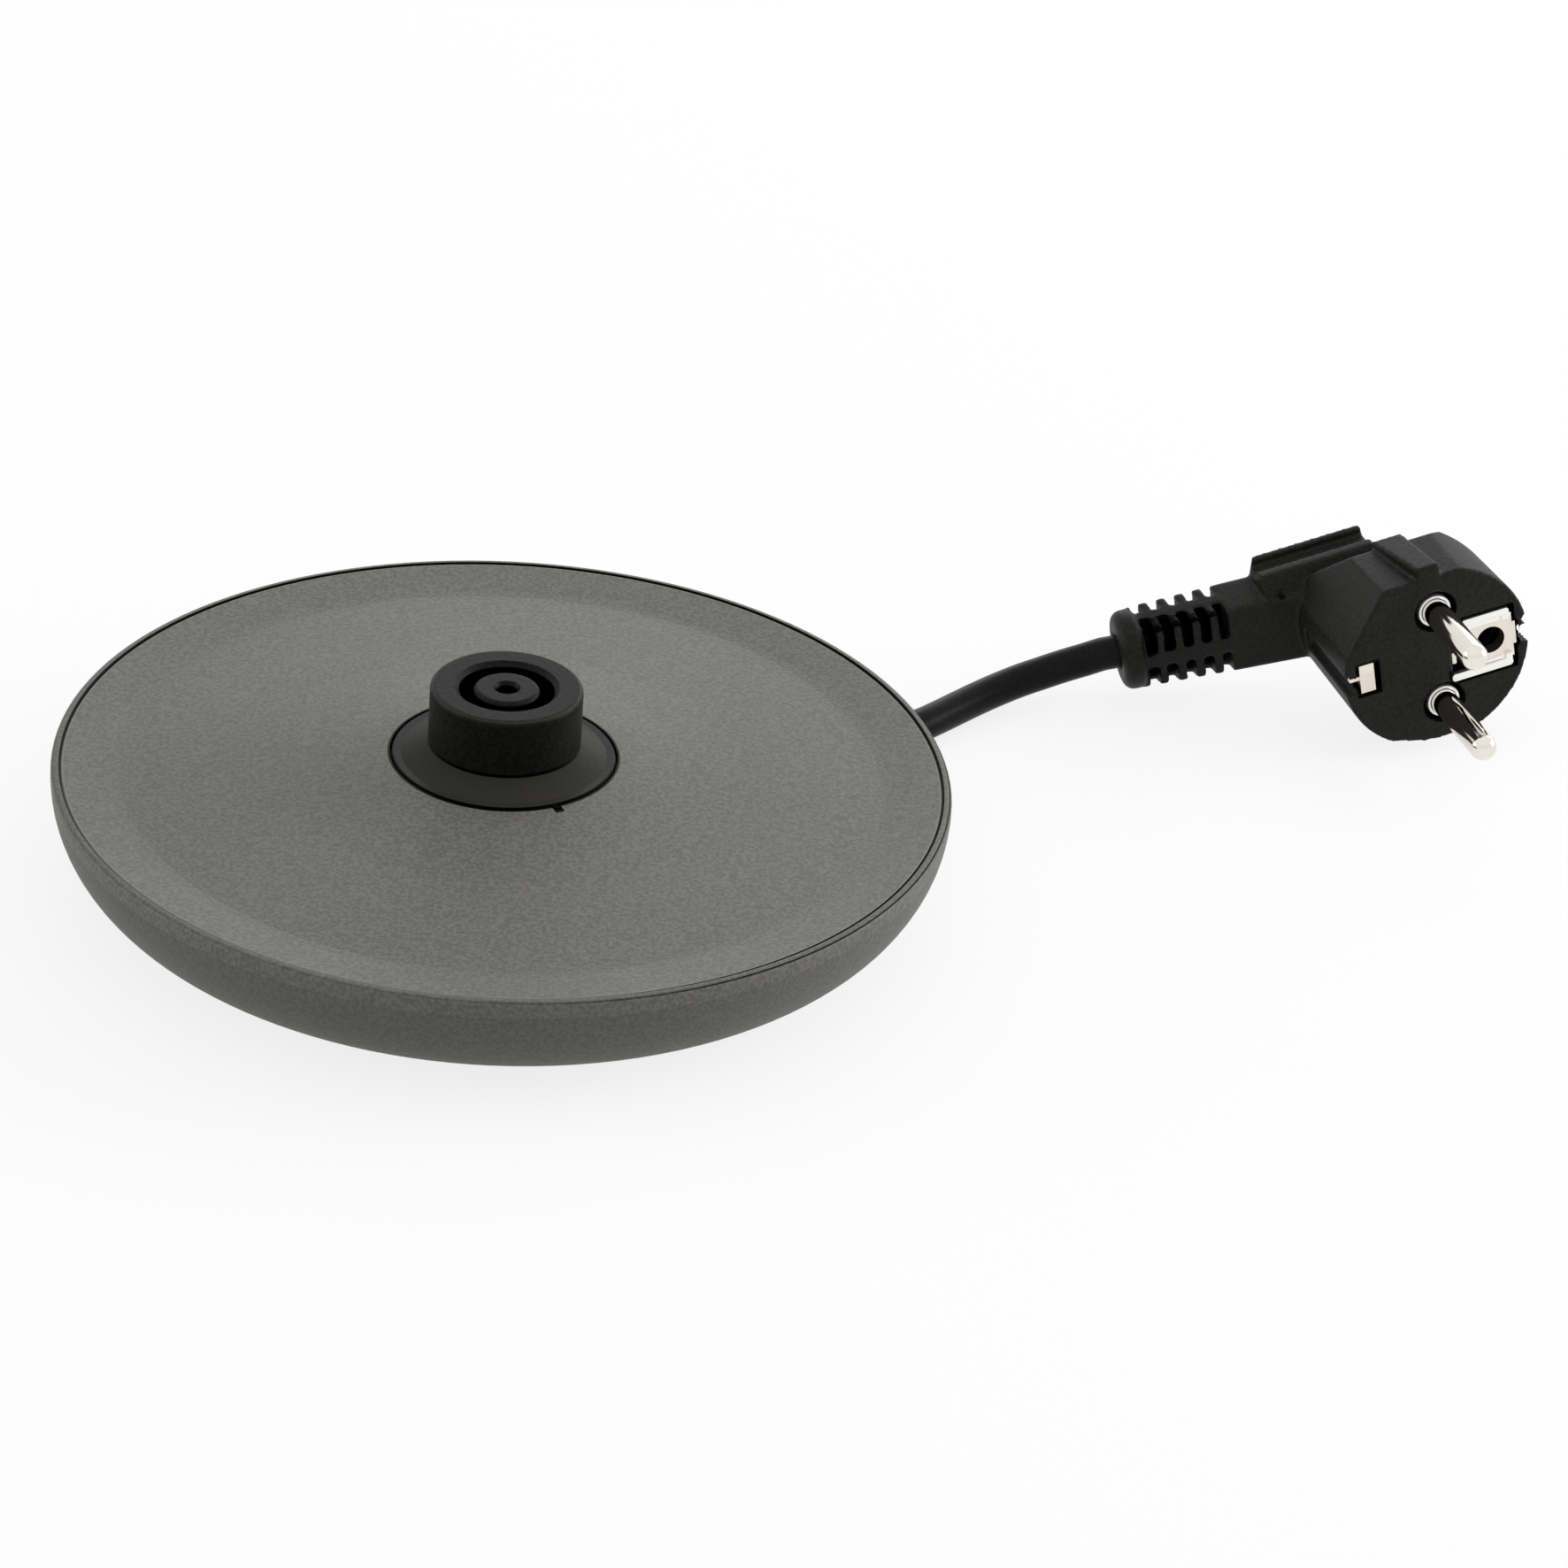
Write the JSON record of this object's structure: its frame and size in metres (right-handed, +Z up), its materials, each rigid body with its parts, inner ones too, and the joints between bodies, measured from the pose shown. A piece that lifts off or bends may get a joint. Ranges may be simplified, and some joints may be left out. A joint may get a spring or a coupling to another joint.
{
  "type": "kettle base",
  "caption": "Round cordless-kettle power base: shallow grey dish, black connector post in the middle, cord store underneath and an angled earthed mains plug on a black lead.",
  "frame": {"origin": "on the table, below the middle of the round base, at the height of the feet's undersides", "axes": "+Z up along the connector post, +X to the right towards the plug, +Y away from the front of the base, where the key notch is"},
  "size_m": [0.257, 0.1666, 0.0388],
  "materials": {
    "grey_shell": "satin, warm mid-grey with a fine spark grain",
    "black_plastic": "satin black",
    "carrier_plastic": "off-white moulding, matt",
    "contact_metal": "bright",
    "pin_metal": "nickel plated, satin",
    "earth_metal": "nickel plated, bright",
    "screw_steel": "zinc plated",
    "foot_rubber": "matt black",
    "cord_black": "satin black jacket",
    "wire_brown": "satin",
    "wire_blue": "satin",
    "wire_green_yellow": "satin"
  },
  "bodies": {
    "root": {"lower_shell": "grey_shell", "top_cover": "grey_shell", "connector_body": "black_plastic", "contact_carrier": "carrier_plastic", "line_contact": "contact_metal", "neutral_contact": "contact_metal", "earth_contact": "contact_metal", "lead_terminals": "contact_metal", "line_wire": "wire_brown", "neutral_wire": "wire_blue", "earth_wire": "wire_green_yellow", "cord_clamp": "black_plastic", "clamp_screws": "screw_steel", "connector_screws": "screw_steel", "cover_screws": "screw_steel", "rubber_feet": "foot_rubber", "cord_inner": "cord_black", "cord_winding": "cord_black", "cord_outer": "cord_black", "plug_body": "black_plastic", "pin_carrier": "carrier_plastic", "plug_line_pin": "pin_metal", "plug_neutral_pin": "pin_metal", "plug_earth_strap": "earth_metal"}
  },
  "joints": []
}
